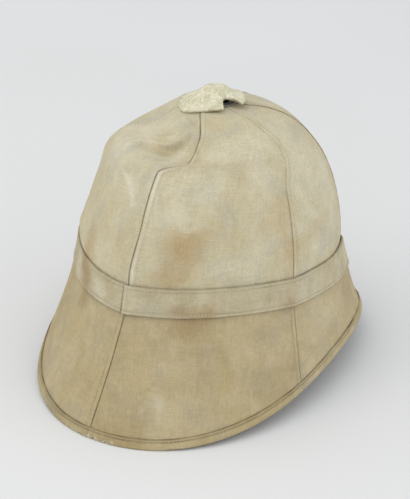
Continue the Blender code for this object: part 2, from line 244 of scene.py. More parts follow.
def crown_skin(angle, rise):
    """The crown's outer skin. Under a rise of 0 it is the upright foot behind the band."""
    angle, rise = np.broadcast_arrays(angle, rise)
    height = BAND_HEIGHT * (1 + rise / (2 * FOOT_RISE))
    foot = foot_skin(angle, height, BAND_WALL + GAP)
    return np.where((rise < 0)[..., None], foot, stand(dome_point(angle, rise)))


def smooth_round(values):
    """A function that passes the rim's stations smoothly, the same on both sides."""
    counts = np.arange(len(values))
    waves = np.cos(np.outer(np.radians(RIM_ANGLES), counts))
    weights = np.linalg.solve(waves, values)
    return lambda angle: (np.cos(np.multiply.outer(angle, counts)) * weights).sum(-1)


rim_reach = smooth_round(RIM_REACHES)
rim_height = smooth_round(RIM_HEIGHTS)


def rim_point(angle):
    """The rim's lowest outer edge."""
    return CENTRE + round_place(angle, rim_reach(angle), np.maximum(rim_height(angle), 0))


def brim_skin(angle, climb):
    """The brim's outer skin, from the rim at 0 to the band at 1, and on up behind the band."""
    angle, climb = np.broadcast_arrays(np.asarray(angle, float), np.asarray(climb, float))
    foot = foot_skin(angle, BAND_HEIGHT / 2 * (climb - 1) / LAP, BAND_WALL + GAP)
    top = foot_skin(angle, np.zeros_like(angle), BAND_WALL + GAP)
    rim = rim_point(angle)
    drop = 1 - climb
    outward = drop - FLARE * np.sin(2 * math.pi * drop) / (2 * math.pi)
    place = top + (rim - top) * outward[..., None]
    place[..., 2] = top[..., 2] + (rim[..., 2] - top[..., 2]) * drop
    return np.where((climb > 1)[..., None], foot, place)


# Small steps over which a skin's direction is taken
ANGLE_STEP = math.radians(0.6)
ALONG_STEP = 0.006


def skin_normal(skin, angle, along):
    """The outward direction of a skin."""
    across = skin(angle + ANGLE_STEP, along) - skin(angle - ANGLE_STEP, along)
    up = skin(angle, along + ALONG_STEP) - skin(angle, along - ALONG_STEP)
    return unit(np.cross(across, up))


def brim_wall(angle, climb, depth):
    """Points in the brim's wall, a depth under the face of its binding."""
    angle, climb, depth = np.broadcast_arrays(angle, climb, depth)
    held = np.maximum(climb, STRAIGHT)
    above = brim_skin(angle, held)
    edge = brim_skin(angle, np.zeros_like(angle))
    run = (brim_skin(angle, np.full_like(angle, STRAIGHT)) - edge) / STRAIGHT
    below = edge + run * climb[..., None]
    place = np.where((climb >= STRAIGHT)[..., None], above, below)
    return place - skin_normal(brim_skin, angle, held) * depth[..., None]


def level_climb(angle, depth, height):
    """How far up the slope a wall's line at a depth is a height over the rim."""
    low = np.full_like(angle, STRAIGHT)
    normal = skin_normal(brim_skin, angle, low)
    slope = (brim_skin(angle, low) - brim_skin(angle, np.zeros_like(angle)))[..., 2] / STRAIGHT
    return (height + depth * normal[..., 2]) / slope


# A fixed set of directions for the noise, and an order to pick them in
RANDOM = np.random.default_rng(12)
DIRECTIONS = 256
LATTICE = unit(RANDOM.normal(size=(DIRECTIONS, 3)))
SHUFFLE = RANDOM.permutation(DIRECTIONS)
SEED_SHIFT = 17.31
NOISE_HEIGHT = 1.6


def noise(points, size, seed):
    """Smooth noise between about -1 and 1, with features of a size in metres."""
    place = points / size + seed * SEED_SHIFT
    cell = np.floor(place).astype(int)
    part = place - cell
    ease = part ** 3 * (part * (part * 6 - 15) + 10)
    total = 0.0
    for corner in np.ndindex(2, 2, 2):
        at = (cell + corner) % DIRECTIONS
        pick = SHUFFLE[(SHUFFLE[at[..., 0]] + at[..., 1]) % DIRECTIONS]
        pick = SHUFFLE[(pick + at[..., 2]) % DIRECTIONS]
        lean = (LATTICE[pick] * (part - corner)).sum(-1)
        total = total + lean * np.where(corner, ease, 1 - ease).prod(-1)
    return total * NOISE_HEIGHT


def rumpled(points, rows, turn=0):
    """The sum of noises, given as rows of a feature's size, a seed and a height."""
    return sum(noise(points, size, seed + turn) * height for size, seed, height in rows)


def make_mesh(name, points, faces, material, attributes=None):
    """A mesh object from arrays of points and of four-cornered faces."""
    points = np.asarray(points, np.float32).reshape(-1, 3)
    faces = np.asarray(faces, np.int32)
    mesh = bpy.data.meshes.new(name)
    mesh.vertices.add(len(points))
    mesh.vertices.foreach_set("co", points.ravel())
    mesh.loops.add(faces.size)
    mesh.loops.foreach_set("vertex_index", faces.ravel())
    mesh.polygons.add(len(faces))
    mesh.polygons.foreach_set("loop_start", np.arange(len(faces), dtype=np.int32) * faces.shape[1])
    mesh.update(calc_edges=True)
    for key, values in (attributes or {}).items():
        values = np.asarray(values, np.float32)
        kind = "FLOAT_VECTOR" if values.ndim > 1 and values.shape[-1] == 3 else "FLOAT"
        made = mesh.attributes.new(key, kind, "POINT")
        made.data.foreach_set("vector" if kind == "FLOAT_VECTOR" else "value", values.ravel())
    mesh.shade_smooth()
    mesh.materials.append(material)
    thing = bpy.data.objects.new(name, mesh)
    bpy.context.scene.collection.objects.link(thing)
    return thing


def between(first, second):
    """Four-cornered faces between two rows of corners, or between each two columns of two grids."""
    return np.stack((first[:-1], second[:-1], second[1:], first[1:]), -1).reshape(-1, 4)


def shell_faces(rows, columns):
    """Faces of a shell made of an outer and an inner grid, with its four edges closed."""
    grid = np.arange(rows * columns).reshape(rows, columns)
    inner = grid + grid.size
    outside = between(grid[:, :-1], grid[:, 1:])
    inside = np.roll(outside[:, ::-1], 1, axis=1) + grid.size
    edges = (between(grid[0], inner[0]), between(grid[-1], inner[-1])[:, ::-1],
             between(grid[:, 0], inner[:, 0])[:, ::-1], between(grid[:, -1], inner[:, -1]))
    return np.concatenate((outside, inside, *edges))


def graded(count, edge_shares):
    """Shares from 0 to 1, close together by both ends and even between."""
    last = edge_shares[-1]
    middle = np.linspace(last, 1 - last, count)[1:-1]
    return np.concatenate((edge_shares, middle, 1 - np.array(edge_shares[::-1])))


# Where cloth is stained or bleached, and one painted highlight by the rear seam: each spot's angle and
# height on the helmet, its half width and half height in metres along the surface, and how strong it
# is
RUST_SPOTS = (
    (198, 0.137, 0.018, 0.012, 0.85),
    (204, 0.148, 0.02, 0.008, 0.42),
    (190, 0.153, 0.016, 0.009, 0.3),
    (196.5, 0.118, 0.017, 0.01, 0.5),
    (205, 0.047, 0.04, 0.018, 0.3),
    (210, 0.066, 0.026, 0.012, 0.24),
    (219, 0.188, 0.013, 0.009, 0.35),
    (228.6, 0.1806, 0.013, 0.009, 0.3),
    (196, 0.193, 0.009, 0.006, 0.4),
    (151.5, 0.126, 0.014, 0.018, 0.7),
    (150.3, 0.106, 0.009, 0.012, 0.55),
    (155.8, 0.096, 0.01, 0.013, 0.75),
    (157.5, 0.08, 0.008, 0.008, 0.45),
    (201, 0.084, 0.022, 0.011, 0.8),
    (196.2, 0.096, 0.009, 0.006, 0.5),
    (206.2, 0.0935, 0.011, 0.007, 0.5),
    (163, 0.056, 0.03, 0.03, 0.18),
    (239.1, 0.0429, 0.005, 0.028, 0.4),
    (241.8, 0.0845, 0.01, 0.006, 0.6),
    (243.4, 0.128, 0.009, 0.034, 0.58),
    (188.5, 0.12, 0.014, 0.01, 0.42),
    (252, 0.145, 0.01, 0.022, 0.24),
)
BLEACH_AND_HIGHLIGHT_SPOTS = (
    (157.3, 0.1746, 0.008, 0.009, 0.4),
    (169.5, 0.174, 0.01, 0.012, 0.55),
    (204.4, 0.1786, 0.02, 0.012, 0.35),
    (216.7, 0.1229, 0.018, 0.008, 0.45),
    (116.5, 0.1909, 0.022, 0.012, 0.55),
    (139.4, 0.185, 0.02, 0.012, 0.5),
    (167.5, 0.1, 0.014, 0.009, 0.75),
    (230.6, 0.1314, 0.016, 0.018, 0.45),
    (238, 0.19, 0.014, 0.022, 0.45),
    (262.7, 0.1177, 0.012, 0.009, 0.6),
    (180.8, 0.1228, 0.008, 0.018, 0.6),
    # A painted highlight along the rear seam
    (182.5, 0.181, 0.006, 0.015, 0.65),
    (192.5, 0.0543, 0.006, 0.01, 0.3),
    (193.4, 0.0318, 0.007, 0.009, 0.55),
    (189.8, 0.027, 0.006, 0.006, 0.3),
    (229.1, 0.0459, 0.006, 0.007, 0.3),
    (258, 0.06, 0.026, 0.024, 0.42),
)
# Noises that make the spots ragged
DRIFTS = ((0.016, 41, 0.0032), (0.005, 44, 0.0018))


def spotted(points, spots):
    """How strongly each point is marked by spots."""
    points = points + np.stack([rumpled(points, DRIFTS, axis) for axis in range(3)], -1)
    x, y, z = np.moveaxis(points - CENTRE, -1, 0)
    angle = np.arctan2(x, -y)
    total = np.zeros_like(z)
    for middle, height, half_width, half_height, amount in spots:
        across = np.hypot(x, y) * off_middle(angle, middle, math.degrees(1))
        total += amount * bell(across, half_width) * bell(z - height, half_height)
    return total


# Folds on the crown: each one's height, its width on the left and on the right, and its line of
# (angle, rise) places
FOLDS = (
    (0.0029, 0.007, 0.0024, ((155, 0.515), (151, 0.55), (149, 0.59), (147, 0.635), (149, 0.675),
        (154, 0.715), (161, 0.742), (166, 0.765), (168.5, 0.8), (169, 0.835))),
    (-0.0026, 0.0034, 0.0066, ((156, 0.665), (160, 0.695), (163, 0.718), (167, 0.742), (171, 0.77),
        (173, 0.8), (174, 0.83))),
    (0.0024, 0.0022, 0.0065, ((154, 0.508), (160, 0.5), (165, 0.485), (169.5, 0.462), (172.5, 0.43),
        (174.5, 0.39), (175.5, 0.33))),
    (0.0009, 0.0036, 0.0056, ((156, 0.51), (163, 0.54), (168, 0.57), (171, 0.595), (172.5, 0.635),
        (175, 0.69))),
    (-0.0013, 0.0013, 0.0013, ((146, 0.735), (152, 0.76), (158, 0.785), (163, 0.81))),
    (-0.001, 0.0011, 0.0011, ((148, 0.78), (154, 0.797), (160, 0.825))),
    (-0.0026, 0.004, 0.004, ((161, 0.868), (167, 0.872), (173, 0.876), (177, 0.88))),
    (0.0009, 0.004, 0.004, ((206, 0.74), (204, 0.66), (203, 0.58))),
    (0.0008, 0.006, 0.006, ((224, 0.3), (223, 0.42), (226, 0.54))),
    (0.0011, 0.0036, 0.0036, ((238.5, 0.88), (237.5, 0.78), (236.5, 0.66), (237.5, 0.52),
        (238, 0.38))),
    (0.001, 0.0036, 0.0036, ((248, 0.86), (247.5, 0.76), (247, 0.64), (246.5, 0.52))),
)


# Twenty degrees are about as far on the crown as a tenth of its rise. A fold's line gets so many
# places and rounds of smoothing. The fold fades over a share of it at both ends. Its crest is marked
# over a share of its width, fully where it is high.
LINE_SCALES = (20, 0.1)
LINE_PLACES = 48
LINE_SMOOTHING = 6
FOLD_ENDS = 0.25
CREST_SHARE = 0.75
FULL_CREST = 0.0027


def along_line(places):
    """Places along a line, passed smoothly."""
    places = np.array(places, float)
    steps = run_length(places / LINE_SCALES)
    line = passed(np.linspace(0, steps[-1], LINE_PLACES), steps, places)
    for _ in range(LINE_SMOOTHING):
        line[1:-1] = (line[:-2] + 2 * line[1:-1] + line[2:]) / 4
    return line


def folded(points, normals):
    """How far folds raise the crown's cloth, how worn their crests are and how much painted shade
    their hollows get.
    """
    total, worn, hollow_shade = np.zeros((3, *points.shape[:-1]))
    for height, left, right, places in FOLDS:
        line = along_line(places)
        path = crown_skin(np.radians(line[:, 0]), line[:, 1])
        run = np.gradient(path, axis=0)
        away = np.linalg.norm(points[..., None, :] - path, axis=-1)
        near, least = away.argmin(-1), away.min(-1)
        side = (np.cross(run[near], normals) * (points - path[near])).sum(-1)
        width = np.where(side > 0, right, left)
        share = near / (len(path) - 1)
        ends = smooth(share / FOLD_ENDS) * smooth((1 - share) / FOLD_ENDS)
        total += height * bell(least, width) * ends
        marked = bell(least, min(left, right) * CREST_SHARE) * ends * abs(height) / FULL_CREST
        worn += marked * (height > 0)
        # Painted shade in the hollows of sunk folds
        hollow_shade += marked * (height < 0)
    return total, worn, hollow_shade


# How panels are sewn: the turned edge's roundness, the raised strip over the folded-in cloth on
# the side that laps over, the sink on the other side and where the stitches run on the strip
EDGE_ROUND = 0.00055
HEM_RAISE = 0.00030
HEM_WIDTH = 0.0030
HEM_FADE = 0.0034
LOW_SIDE = 0.00020
LOW_WIDTH = 0.0013
STITCH_LINE = 0.0038
STITCH_SINK = 0.00014
STITCH_WIDTH = 0.0006
RIPPLES = ((0.0045, 3, 0.00022),)
RIPPLE_REACH = 0.006
SEAM_GAP = 0.0003
# How much of that relief the brim's seams have
BRIM_HEM = 0.5


def sewn(lapped, tucked, lapped_share, tucked_share, points):
    """The relief of sewn edges, by the distances to the lapping edge and to the tucked one."""
    deep = np.minimum(np.where(lapped < tucked, lapped_share, tucked_share), 1)
    rolled = -rounded(np.minimum(lapped, tucked), EDGE_ROUND) * deep
    raised = HEM_RAISE * (1 - smooth((lapped - HEM_WIDTH) / HEM_FADE)) * np.minimum(lapped_share, 1)
    sunk = -LOW_SIDE * bell(tucked, LOW_WIDTH)
    stitched = -STITCH_SINK * bell(lapped - STITCH_LINE, STITCH_WIDTH)
    return rolled + raised + sunk + stitched + rumpled(points, RIPPLES) * fade(lapped, RIPPLE_REACH)


# One crown seam is rubbed faint above a rise and stands closer. The rear one bends across a ledge,
# where it is darker, and leans aside by the cap: a turn in degrees, a rise and a half rise each.
RUBBED_SEAM = 242
RUBBED_RISE = 0.45
RUBBED_RUN = 0.12
RUBBED_SHARE = 0.60
RUBBED_LOSS = 0.42
RUBBED_GAP = 0.00008
BENT_SEAM = 180
BENT_RISE = 0.605
BENT_HALF_RISE = 0.035
BENT_MORE = 1.5
LEANS = ((3.2, 0.79, 0.065), (-6.0, 0.96, 0.05))
LEAN_HALF_ANGLE = 30
BRIM_SEAM_SHARES = (0.75, 0.75, 0.75, 0.75, 0.45, 0.75, 0.75)


def crown_seam_share(angle, rise):
    """How dark and how deep the crown's seam at an angle in degrees is."""
    if angle == RUBBED_SEAM:
        return RUBBED_SHARE - RUBBED_LOSS * smooth((rise - RUBBED_RISE) / RUBBED_RUN + 0.5)
    if angle == BENT_SEAM:
        return 1 + BENT_MORE * bell(rise - BENT_RISE, BENT_HALF_RISE)
    return np.ones_like(rise)


def leaned(angle, rise):
    """Angles of the crown's lines, which curve a little by the cap at the rear seam."""
    turn = sum(degrees * bell(rise - middle, half_rise) for degrees, middle, half_rise in LEANS)
    return angle + np.radians(turn) * bell(off_middle(angle, BENT_SEAM, LEAN_HALF_ANGLE))


# How wide the dirt in a seam's joint is, and how strong the paler strip beside it is. Then the dirt on
# the stitches, the darkening beside the joint on the tucked side, and the paler strip's place and
# width.
CROWN_MARKS = (0.00065, 0.60)
BRIM_MARKS = (0.0005, 0.30)
STITCH_DIRT = 0.22
TUCKED_SIDE_DARK = 0.14
SIDE_REACH = 0.005
WORN_PLACE = 0.0022
WORN_WIDTH = 0.0011
MOST_DIRT = 1.2


def patchy(points, level, swing, size, seed):
    """A factor that wanders round a level, with patches of a size."""
    return level + swing * noise(points, size, seed)


def seam_marks(lapped, tucked, lapped_share, tucked_share, points, marks):
    """Dirt in the seams and along the stitches, darkening beside the joint on the tucked side, and the
    paler worn strip between.
    """
    width, strip = marks
    worn = patchy(points, 0.86, 0.34, 0.020, 51)
    joint = np.maximum(lapped_share * bell(lapped, width), tucked_share * bell(tucked, width))
    stitched = STITCH_DIRT * bell(lapped - STITCH_LINE, STITCH_WIDTH)
    dark = (np.maximum(joint, stitched) + TUCKED_SIDE_DARK * fade(tucked, SIDE_REACH)) * worn
    pale = strip * bell(lapped - WORN_PLACE, WORN_WIDTH) * worn * np.minimum(lapped_share, 1)
    return np.clip(dark, 0, MOST_DIRT), np.clip(pale, 0, 1)


# The soft unevenness of cloth stretched over pith. The fine part is drawn out upward.
UNEVEN = ((0.042, 1, 0.00055), (0.016, 2, 0.00016))
FINE_UNEVEN = ((0.0065, 5, 0.00005),)
FINE_STRETCH = (1, 1, 0.6)


def unevenness(points):
    """How far the cloth's soft unevenness raises it."""
    return rumpled(points, UNEVEN) + rumpled(points * FINE_STRETCH, FINE_UNEVEN)


# In how many parts a line is cut between two rows, and how many rows up and down it is searched
FINE = 8
NEAR_ROWS = 10


def passed(at, steps, values):
    """Values given at steps along a line, taken at other places on it."""
    return np.stack([np.interp(at, steps, column) for column in values.T], -1)


def line_distance(points, line):
    """Each point's distance from a line that runs up the grid along with its rows."""
    steps = np.arange((len(line) - 1) * FINE + 1) / FINE
    fine = passed(steps, np.arange(len(line)), line)
    away = np.empty(points.shape[:-1])
    for row, here in enumerate(points):
        part = fine[max(row - NEAR_ROWS, 0) * FINE:(row + NEAR_ROWS) * FINE + 1]
        away[row] = np.linalg.norm(here[:, None] - part[None], axis=-1).min(axis=1)
    return away


def measured(points):
    """Distances along a grid's rows from its first column, and up its middle column."""
    across = run_length(points.swapaxes(0, 1)).T
    up = run_length(points[:, points.shape[1] // 2])
    return across, np.broadcast_to(up[:, None], across.shape)


def placed(thing, node=None):
    """Attach an object to the body it rides on and hide the node it replaces."""
    if node:
        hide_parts(node)
    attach(thing, "root")


# The number in the grain that sets each piece's weave apart, counted on from these
BRIM_GRAIN = 10
BAND_GRAIN = 30
BINDING_GRAIN = 40


def cloth_shell(cloth, node, panel, outer, inner, grain, dark, pale):
    """A closed shell of cloth from an outer and an inner grid, with what its material reads."""
    grain = np.stack(np.broadcast_arrays(*grain), -1)
    attributes = {"grain": np.stack((grain, grain))}
    pale = spotted(outer, BLEACH_AND_HIGHLIGHT_SPOTS) + pale
    for key, values in (("rust", spotted(outer, RUST_SPOTS)), ("pale", pale), ("edge", dark)):
        attributes[key] = np.stack((values, np.zeros_like(values)))
    both = np.stack((outer, inner))
    faces = shell_faces(*outer.shape[:2])
    placed(make_mesh(cloth + panel, both, faces, cloths[cloth], attributes), node + panel)


# Lines up and across the crown's and the brim's pieces, close together by the seams and the band.
# The crown's are even at one angle. The brim's last ones, over a share, go on up behind the band.
CROWN_LINES = 104
CROWN_TOP = 0.985
TRIAL_ROWS = 1200
SAMPLE_ANGLE = math.radians(215)
BAND_LINES = (0.0005, 0.004, 0.009, 0.015, 0.023)
BRIM_LINES = 78
BRIM_OPEN = 0.93
CROWN_SHARES = graded(84, (0, 0.001, 0.0025, 0.0045, 0.007, 0.010, 0.014, 0.019, 0.026, 0.035))
BRIM_SHARES = graded(92, (0, 0.001, 0.002, 0.0035, 0.0055, 0.008, 0.011, 0.015, 0.0175, 0.020,
                          0.0225, 0.026, 0.033, 0.040, 0.044, 0.048, 0.052, 0.058))
# The inner skins: how far they lap at the seams and how uneven they are, as shares of the outer ones
INNER_LAP = 0.1
INNER_UNEVEN = 0.5
# Where the relief fades out, and between which limits stitches run
TOP_FADE = 0.03
FOOT_START = -0.02
FOOT_FADE = 0.05
BRIM_FADE = 0.04
CROWN_STITCHED = (0.012, 0.93)
BRIM_STITCHED = (0.007, 0.985)
# Wear on fold crests, painted shade in fold hollows, and painted shade where the cloth meets the band,
# with more of it round two angles
CREST_WEAR = 0.65
HOLLOW_SHADE = 0.18
OVER_BAND = 0.006
OVER_BAND_SHADE = 0.45
MORE_BAND_SHADE = ((275, 28, 0.75), (135, 18, 0.35))
UNDER_BAND = 0.018
UNDER_BAND_SHADE = 0.6

STITCHES = {"crown": [], "brim": [], "band": [], "binding": []}


def keep_row(piece, outer, normals, distance, rows, place=STITCH_LINE):
    """Note where a row of stitches runs up a grid, at a distance from an edge."""
    column = np.abs(distance[len(distance) // 2] - place).argmin()
    STITCHES[piece].append((outer[rows, column], normals[rows, column]))


def crown_lines():
    """Shares of the way up a panel, even along its surface."""
    rises = np.linspace(-FOOT_RISE, CROWN_TOP, TRIAL_ROWS)
    steps = run_length(crown_skin(SAMPLE_ANGLE, rises))
    even = np.interp(np.linspace(0, steps[-1], CROWN_LINES), steps, rises)
    even = np.sort(np.concatenate((even, BAND_LINES)))
    return (even - even[0]) / (even[-1] - even[0])


def crown_cloth(index, lines):
    """One gore of the crown."""
    seams = CROWN_SEAMS[index:index + 2]
    start, end = np.radians(seams)
    angle = (start + (end - start) * CROWN_SHARES)[None, :]
    hole = rise_at_reach(VENT_HOLE / (oval(angle) - BAND_WALL - GAP))
    foot = FOOT_RISE * (1 - 2 * GAP / BAND_HEIGHT)
    rise = -foot + (hole + foot) * lines[:, None]
    angle = np.broadcast_to(angle, rise.shape)
    reach = oval(angle) * dome_share(np.maximum(rise, 0))[0]
    gaps = [RUBBED_GAP if seam == RUBBED_SEAM else SEAM_GAP for seam in seams]
    turn = (gaps[0] * (1 - CROWN_SHARES) - gaps[1] * CROWN_SHARES) / 2 / reach
    angle = leaned(angle, rise)
    base = crown_skin(angle + turn, rise)
    normals = skin_normal(crown_skin, angle + turn, rise)
    first, last = (line_distance(base, base[:, column]) for column in (0, -1))
    raised, crests, hollows = folded(base, normals)
    shares = [crown_seam_share(seam, rise) for seam in seams]
    relief = sewn(first, last, *shares, base) + unevenness(base) + raised
    relief = relief * smooth((1 - rise) / TOP_FADE) * smooth((rise - FOOT_START) / FOOT_FADE)
    outer = base + normals * relief[..., None]
    low, high = CROWN_STITCHED
    keep_row("crown", outer, normals, first, (rise[:, 0] > low) & (rise[:, 0] < high))
    closed = crown_skin(angle - turn * INNER_LAP, rise)
    inner = closed - normals * (WALL - unevenness(closed) * INNER_UNEVEN)[..., None]
    across, up = measured(base)
    dark, pale = seam_marks(first, last, *shares, base, CROWN_MARKS)
    # Painted shade on the crown just over the band, stronger round two angles, patchy
    dirt_and_shade = OVER_BAND_SHADE + sum(more * bell(off_middle(angle, middle, half))
                           for middle, half, more in MORE_BAND_SHADE)
    dirt_and_shade = dirt_and_shade * fade(np.maximum(rise, 0), OVER_BAND) * patchy(base, 0.75, 0.5, 0.03, 52)
    # Dark marks: dirty joints, painted shade in fold hollows and painted shade over the band
    cloth_shell("crown_cloth", "crown_panel", "_" + PANELS[index], outer, inner,
                (across - across[:, -1:] / 2, up, index),
                dark + HOLLOW_SHADE * hollows + dirt_and_shade, pale + CREST_WEAR * crests)


def brim_cloth(index):
    """One piece of the brim."""
    top = LAP * (1 - 2 * GAP / BAND_HEIGHT)
    share = np.linspace(0, 1, BRIM_LINES)[:, None]
    slope = np.minimum(share / BRIM_OPEN, 1)
    behind = np.maximum(share - BRIM_OPEN, 0) / (1 - BRIM_OPEN)
    seams = np.radians((RIM_SEAMS[index:index + 2], CROWN_SEAMS[index:index + 2]))
    start, end = (rim + (crown - rim) * slope for rim, crown in seams.T)
    angle = start + (end - start) * BRIM_SHARES
    under = BIND_WALL + GAP

    def wall(angle, thick, relief=0.0):
        low = level_climb(angle, np.full_like(angle, under + thick), under)
        climb = low + (1 - low) * slope + top * behind
        return brim_wall(angle, climb, under * np.maximum(1 - climb ** 3, 0) + thick - relief)

    reach = np.linalg.norm((wall(angle, 0.0) - CENTRE)[..., :2], axis=-1)
    turn = SEAM_GAP / 2 / reach * (1 - 2 * BRIM_SHARES)
    base = wall(angle + turn, 0.0)
    first, last = (line_distance(base, base[:, column]) for column in (0, -1))
    relief = sewn(last, first, 1.0, 1.0, base) * BRIM_HEM + unevenness(base)
    outer = wall(angle + turn, 0.0, relief * smooth((1 - slope) / BRIM_FADE))
    normals = skin_normal(brim_skin, angle + turn, np.clip(slope, STRAIGHT, 1))
    across, up = measured(base)
    low, high = BRIM_STITCHED
    keep_row("brim", outer, normals, last, (up[:, 0] > low) & (slope[:, 0] < high))
    first_share, last_share = BRIM_SEAM_SHARES[index:index + 2]
    dark, pale = seam_marks(last, first, last_share, first_share, base, BRIM_MARKS)
    # Painted shade on the brim just under the band, patchy
    dirt_and_shade = UNDER_BAND_SHADE * fade(1 - slope, UNDER_BAND) * patchy(base, 0.8, 0.5, 0.03, 53)
    cloth_shell("brim_cloth", "brim_panel", "_" + PANELS[index], outer,
                wall(angle - turn * INNER_LAP, WALL),
                (across - across[:, -1:] / 2, up, index + BRIM_GRAIN), dark + dirt_and_shade, pale)


# The band: how round its folded edges are, how far in its stitches run, how loose its upper edge is,
# and its joint: its angle and gap in degrees, how far the end laps over and where it is stitched
BAND_EDGE = 0.0006
BAND_STITCH = 0.0026
BAND_LOOSE = 0.0007
LOOSE_FROM = 0.4
BAND_JOINT = 178.9
BAND_GAP = 0.12
BAND_LAP = 0.008
LAP_STITCH = 0.0035
LAP_RAISE = 0.0008
LAP_FADE = 0.002
LAP_SINK = 0.0003
LAP_INSIDE = 0.9
# Its lines: one close to the joint, and some close to the edges
BAND_COLUMNS = 620
FIRST_COLUMN = 0.35
BAND_ROWS = 24
BAND_TURNED = (0, 0.00012, 0.0004, 0.0008, 0.0013)
BAND_FACE = 0.0018
# Its relief by the distance from a row of stitches, from an edge and from the joint
BAND_UNEVEN = 0.6
BAND_RIPPLE = 0.00012
BAND_PUCKER = 0.00018
PUCKER_WIDTH = 0.002
BAND_SINK = 0.00032
BAND_HEM = 0.00018
HEM_RUN = 0.0008
END_ROUND = 0.00044
END_REACH = 0.0004
# Which columns and rows are stitched
BAND_STITCHED = slice(6, -4)
LAP_STITCHED = slice(5, -5)
# Between which angles the lower edge is soiled rather than worn, and how much
SOILED_ANGLES = (242, 312)
SOILED_FADE = 10
SOILED_LOSS = 0.45


def band_point(angle, height, depth):
    """Points of the band, which stands a little loose from the crown at its upper edge."""
    place = foot_skin(angle, height, depth)
    away = unit((place - CROWN_STAND) * (1, 1, 0))
    loose = patchy(place * (1, 1, 0), 0.55, 0.45, 0.05, 8)
    lift = BAND_LOOSE * loose * smooth((height / BAND_HEIGHT - LOOSE_FROM) / (1 - LOOSE_FROM))
    return place + away * lift[..., None]


def hat_band():
    """The folded band, stitched along both edges, with its ends lapped near the rear seam."""
    share = np.linspace(0, 1, BAND_COLUMNS)
    share = np.concatenate(((0, share[1] * FIRST_COLUMN), share[1:]))
    angle = math.radians(BAND_JOINT) + math.radians(360 - BAND_GAP) * share[None, :]
    turned = np.array(BAND_TURNED)
    heights = np.concatenate((turned, np.linspace(BAND_FACE, BAND_HEIGHT - BAND_FACE, BAND_ROWS),
                              BAND_HEIGHT - turned[::-1]))
    angle, height = np.broadcast_arrays(angle, heights[:, None])
    low = np.minimum(height, BAND_HEIGHT - height)
    base = band_point(angle, height, np.zeros_like(height))
    across, up = measured(base)
    ends = np.minimum(across, across[:, -1:] - across)
    from_stitch = np.abs(low - BAND_STITCH)
    lapped = LAP_RAISE * (1 - smooth((across - BAND_LAP) / LAP_FADE))
    relief = (
        unevenness(base) * BAND_UNEVEN + noise(base, 0.006, 9) * BAND_RIPPLE
        + noise(base, 0.0035, 54) * BAND_PUCKER * bell(from_stitch, PUCKER_WIDTH)
        - BAND_SINK * bell(from_stitch, STITCH_WIDTH)
        - LAP_SINK * bell(across - LAP_STITCH, STITCH_WIDTH)
        - rounded(low, BAND_EDGE) + BAND_HEM * smooth((BAND_STITCH - low) / HEM_RUN)
        + lapped - END_ROUND * fade(ends, END_REACH)
    )
    outer = band_point(angle, height, -relief)
    inner = band_point(angle, height, BAND_WALL - lapped * LAP_INSIDE)
    # Amounts of painted shade along the edges and at the ends, of dirt on the stitches, then of the
    # worn strips
    dark = 0.8 * fade(low, 0.0006) + 0.9 * fade(ends, 0.0008)
    dark = dark + 0.45 * bell(from_stitch, STITCH_WIDTH) + 0.5 * bell(across - LAP_STITCH, 0.0007)
    degrees = np.degrees(angle)
    start, end = SOILED_ANGLES
    soiled = smooth((degrees - start) / SOILED_FADE) * smooth((end - degrees) / SOILED_FADE)
    soiled = SOILED_LOSS * soiled * (height < BAND_HEIGHT / 2)
    pale = (0.5 - soiled) * bell(low - 0.0013, 0.0007) + 0.8 * bell(across - 0.0019, 0.0008)
    normals = skin_normal(lambda a, h: foot_skin(a, h, 0.0), angle, height)
    for row in (BAND_STITCH, BAND_HEIGHT - BAND_STITCH):
        line = np.abs(heights - row).argmin()
        STITCHES["band"].append((outer[line, BAND_STITCHED], normals[line, BAND_STITCHED]))
    keep_row("band", outer, normals, across, LAP_STITCHED, LAP_STITCH)
    worn = patchy(base, 0.75, 0.5, 0.018, 55)
    cloth_shell("band_cloth", "hat_band", "", outer, inner, (across, up, BAND_GRAIN),
                dark * worn, pale * worn)


# The binding: its edge's roundness, its top's height, and its stitches below the hem and their sink
BIND_ROUND = 0.0016
BIND_TOP = BIND_WIDTH * 0.9
BIND_STITCH = 0.0021
BIND_STITCH_WIDTH = 0.0005
BIND_SINK = 0.00038
BIND_STITCHED = slice(4, -4)
# The swell of its hem: its place, its width and its height
SWELL_PLACE = 0.0009
SWELL_WIDTH = 0.0007
SWELL = 0.00022
BIND_RIPPLES = ((0.009, 11, 0.00018), (0.0038, 12, 0.00010))
# Its hem as rows of a share of its wall and of a height over its top, and its face and turned edge
HEM_ROWS = ((0.95, 0.0002), (0.4, 0.0001), (0.0, -0.0003))
FACE_HEIGHTS = np.linspace(BIND_TOP - 0.0007, BIND_ROUND + 0.0004, 13)
EDGE_TURNS = np.linspace(0, math.pi / 2, 6)
# How far up the brim the stitches' normals are taken
NORMAL_CLIMB = 0.08
# Its columns between two angles, with more of them round a third one
BIND_COLUMNS = 760
TRIAL_DEGREES = np.linspace(176.05, 535.95, 4000)
DENSEST = 178
DENSE_HALF_ANGLE = 18
MORE_COLUMNS = 2.2
# Where it is worn through to its threads: an angle round the rim, a half angle and an amount
WORN = (
    (176.5, 3.2, 1),
    (180.5, 4, 0.9),
    (183, 2.2, 0.8),
    (168, 2.6, 0.7),
    (171.5, 1.5, 1),
    (196, 3, 0.5),
    (158, 4, 0.5),
    (12, 5, 0.6),
    (341, 4, 0.6),
)
WORN_HEIGHT = 0.0022
# Noises that chip the worn edge, and how far in and up the chips reach
CHIPS = ((0.0028, 13, 1.4), (0.0012, 14, 0.7))
CHIP_DEPTH = 0.0008
CHIP_HEIGHT = 0.0018


